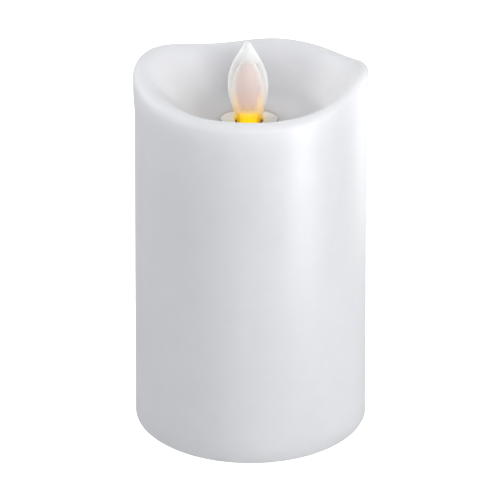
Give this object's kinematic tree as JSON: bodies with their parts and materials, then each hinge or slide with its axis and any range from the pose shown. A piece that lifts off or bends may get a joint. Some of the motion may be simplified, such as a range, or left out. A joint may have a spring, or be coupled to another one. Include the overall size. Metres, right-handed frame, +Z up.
{
  "type": "flameless LED candle",
  "caption": "Battery pillar candle with a melted wax rim and bowl, a swaying translucent flame, and a base with battery door and slide switch.",
  "frame": {"origin": "centre of the bounding box's bottom face, on the surface that the foot stands on", "axes": "+Z up along the pillar; -Y towards the front, where the melted rim dips in front of the flame; +X to the right of the front view"},
  "size_m": [0.0772, 0.0769, 0.1369],
  "materials": {
    "wax": "soft satin wax, slightly translucent",
    "frosted_flame": "frosted translucent",
    "amber_diffuser": "translucent, lit from below",
    "collar_plastic": "matte",
    "housing_plastic": "fine matte moulding",
    "dark_plastic": "matte",
    "steel": "plain plated",
    "magnet": "bright nickel plate",
    "led_epoxy": "clear amber",
    "board_laminate": "solder resist",
    "copper_wire": "enamelled copper",
    "wire_insulation": "smooth sleeve",
    "cell_can": "printed sleeve, no lettering",
    "capacitor_can": "sleeve",
    "resistor_body": "lacquered"
  },
  "bodies": {
    "candle": {"wax_shell": "wax", "collar_ring": "collar_plastic", "tower_front_half": "housing_plastic", "tower_rear_half": "housing_plastic", "inner_housing": "housing_plastic", "housing_lid": "housing_plastic", "base_cover": "housing_plastic", "coil_bobbin": "dark_plastic", "switch_body": "dark_plastic", "board_chip": "dark_plastic", "board_transistor": "dark_plastic", "pivot_wire": "steel", "tower_screws": "steel", "tower_base_screws": "steel", "lid_screws": "steel", "base_screws": "steel", "board_screws": "steel", "bridge_contact": "steel", "positive_contact": "steel", "negative_contact": "steel", "timer_crystal": "steel", "flame_led": "led_epoxy", "led_board": "board_laminate", "circuit_board": "board_laminate", "coil_winding": "copper_wire", "coil_wires": "copper_wire", "led_wires": "wire_insulation", "battery_wires": "wire_insulation", "switch_wires": "wire_insulation", "battery_front": "cell_can", "battery_rear": "cell_can", "board_capacitor": "capacitor_can", "board_resistors": "resistor_body"},
    "flame": {"flame_shell": "frosted_flame", "flame_diffuser": "amber_diffuser", "flame_stem": "dark_plastic", "stem_magnet": "magnet"},
    "switch": {"switch_knob": "dark_plastic"},
    "door": {"battery_door": "housing_plastic"}
  },
  "joints": [
    {"name": "flame_sway", "type": "hinge", "parent": "candle", "child": "flame", "pos_m": [-0.0005, 0, 0.1015], "axis": [0, 1, 0], "range_deg": [-4, 6]},
    {"name": "switch_slide", "type": "slide", "parent": "candle", "child": "switch", "axis": [1, 0, 0], "range_m": [-0.002, 0.002]},
    {"name": "battery_door_hinge", "type": "hinge", "parent": "candle", "child": "door", "pos_m": [0, 0.0172, 0.0028], "axis": [1, 0, 0], "range_deg": [0, 90]}
  ]
}
